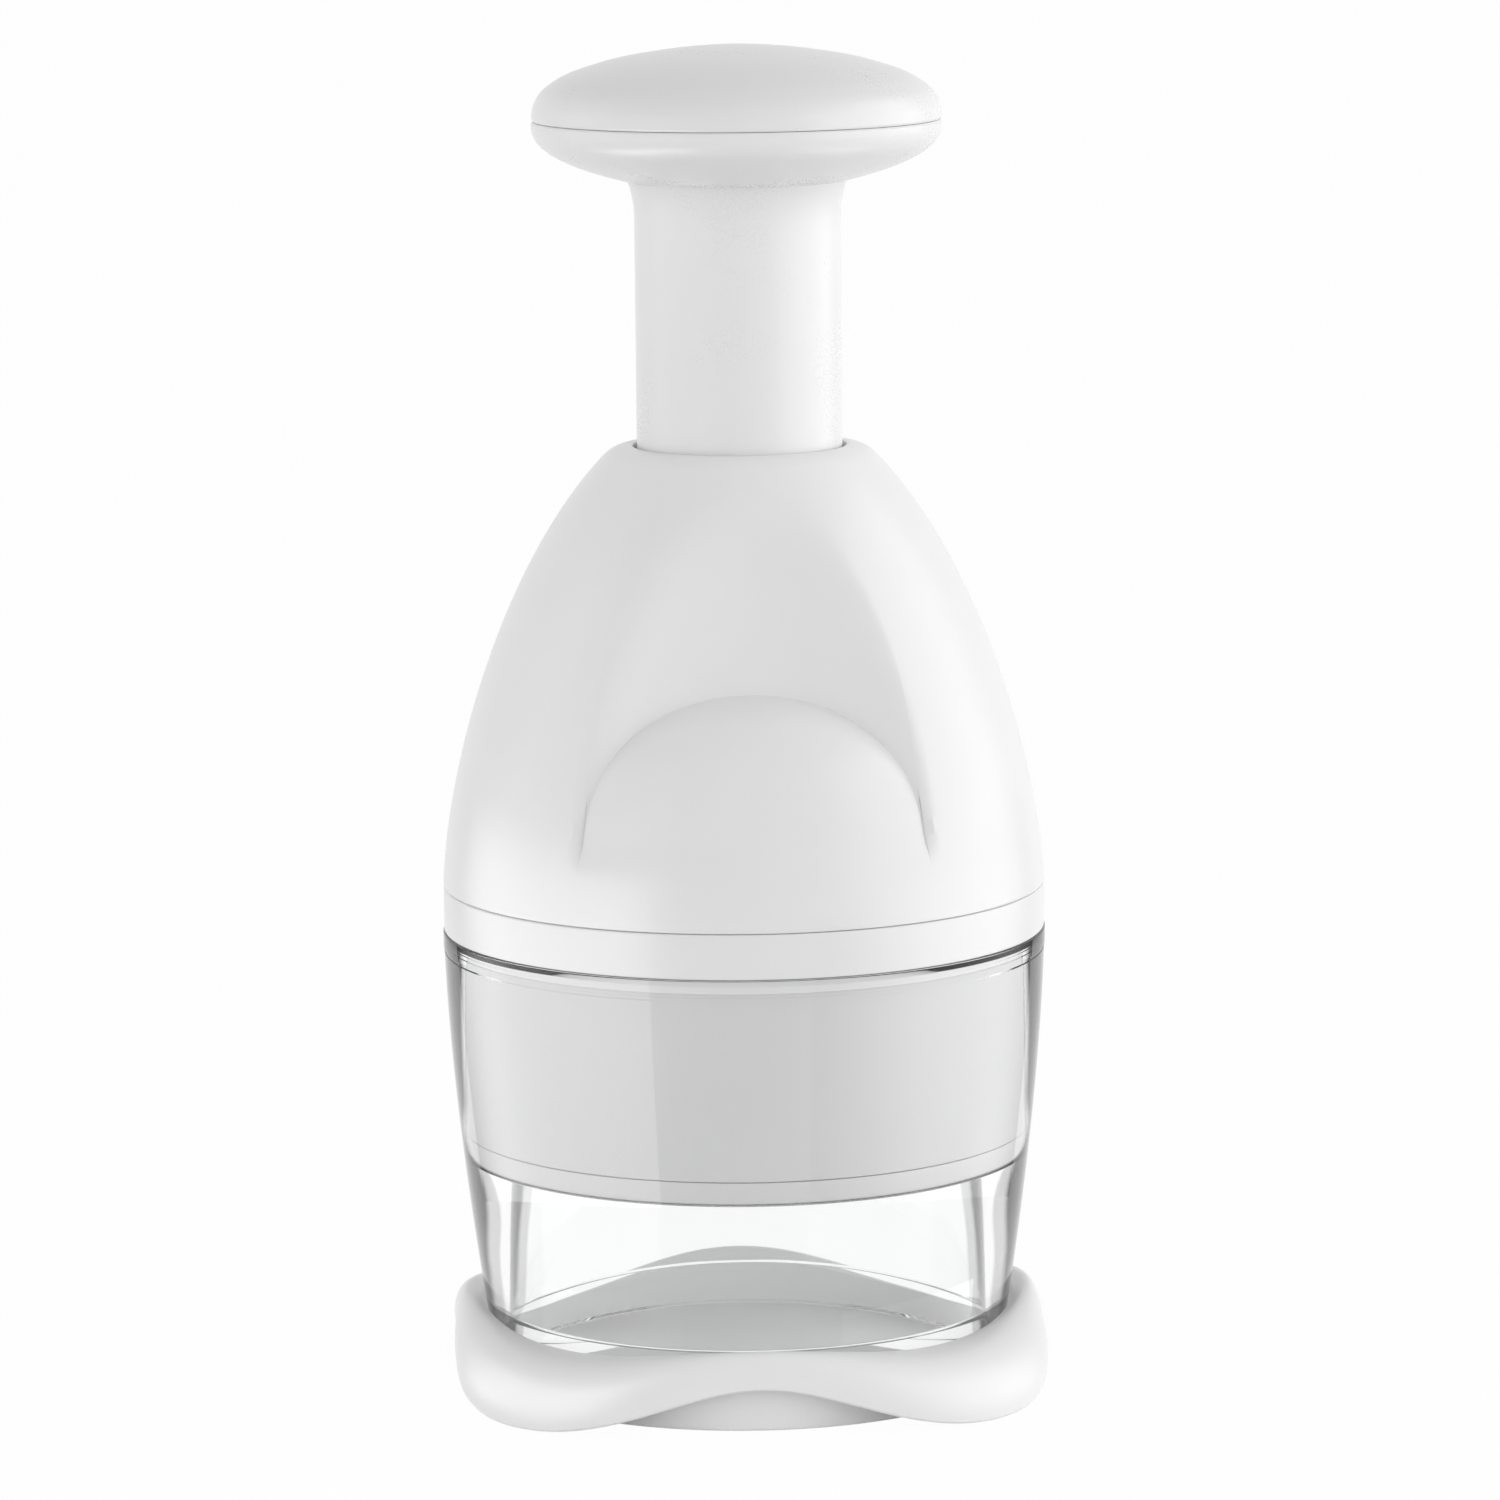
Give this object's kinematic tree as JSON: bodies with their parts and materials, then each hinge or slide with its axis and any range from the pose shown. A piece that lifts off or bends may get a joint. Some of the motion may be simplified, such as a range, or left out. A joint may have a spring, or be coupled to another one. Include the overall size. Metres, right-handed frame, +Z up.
{
  "type": "plunger food chopper",
  "caption": "Hand food chopper: a sprung plunger knob on a scooped bell drives zig-zag blades down a clear cup and turns them at each press, on a wavy push-on base.",
  "frame": {"origin": "on the axis at the underside of the foot pad, where it stands on the table", "axes": "+Z up the axis to the knob, -Y towards the front finger scoop, +X to the right seen from the front"},
  "size_m": [0.1026, 0.1026, 0.2261],
  "materials": {
    "white_plastic": "satin gloss white moulding",
    "inner_plastic": "plain pale moulding",
    "clear_plastic": "clear polished plastic",
    "steel": "brushed stainless",
    "soft_rubber": "matt soft pad"
  },
  "bodies": {
    "base": {"base_cover": "white_plastic", "foot_pad": "soft_rubber"},
    "cup": {"clear_cup": "clear_plastic"},
    "housing": {"blade_housing": "white_plastic", "guard_ring": "white_plastic"},
    "bell": {"bell_housing": "white_plastic", "collar_bush": "inner_plastic", "guide_plate": "inner_plastic", "guide_screw_1": "steel", "guide_screw_2": "steel", "guide_screw_3": "steel", "guide_screw_4": "steel", "ratchet_nut": "inner_plastic", "ratchet_cap": "inner_plastic", "spring_washer": "steel"},
    "plunger": {"knob_cap": "white_plastic", "plunger_tube": "white_plastic", "tube_plug": "inner_plastic", "stop_washer": "soft_rubber", "return_spring": "steel"},
    "blade_rotor": {"spindle": "steel", "thrust_washer": "steel", "retaining_clip": "steel", "blade_carrier": "inner_plastic", "blade_left": "steel", "blade_right": "steel", "carrier_pin": "steel"},
    "wiper": {"wiper_plate": "inner_plastic"}
  },
  "joints": [
    {"name": "cup_lift", "type": "slide", "parent": "base", "child": "cup", "axis": [0, 0, 1], "range_m": [0, 0.012]},
    {"name": "housing_lift", "type": "slide", "parent": "cup", "child": "housing", "axis": [0, 0, 1], "range_m": [0, 0.042]},
    {"name": "bell_twist", "type": "hinge", "parent": "housing", "child": "bell", "pos_m": [0, 0, 0.0849], "axis": [0, 0, 1], "range_deg": [0, 25]},
    {"name": "plunger_press", "type": "slide", "parent": "bell", "child": "plunger", "axis": [0, 0, -1], "range_m": [0, 0.04], "stiffness_N_per_m": 500, "springref_m": -0.015, "deforming": ["return_spring"]},
    {"name": "blade_turn", "type": "hinge", "parent": "plunger", "child": "blade_rotor", "pos_m": [0, 0, 0.1453], "axis": [0, 0, 1], "range_deg": [0, 46]},
    {"name": "wiper_slide", "type": "slide", "parent": "blade_rotor", "child": "wiper", "axis": [0, 0, 1], "range_m": [0, 0.0115]}
  ],
  "couplings": [
    {"joint": "blade_turn", "follows": "plunger_press", "rad_per_m": 19.635}
  ]
}
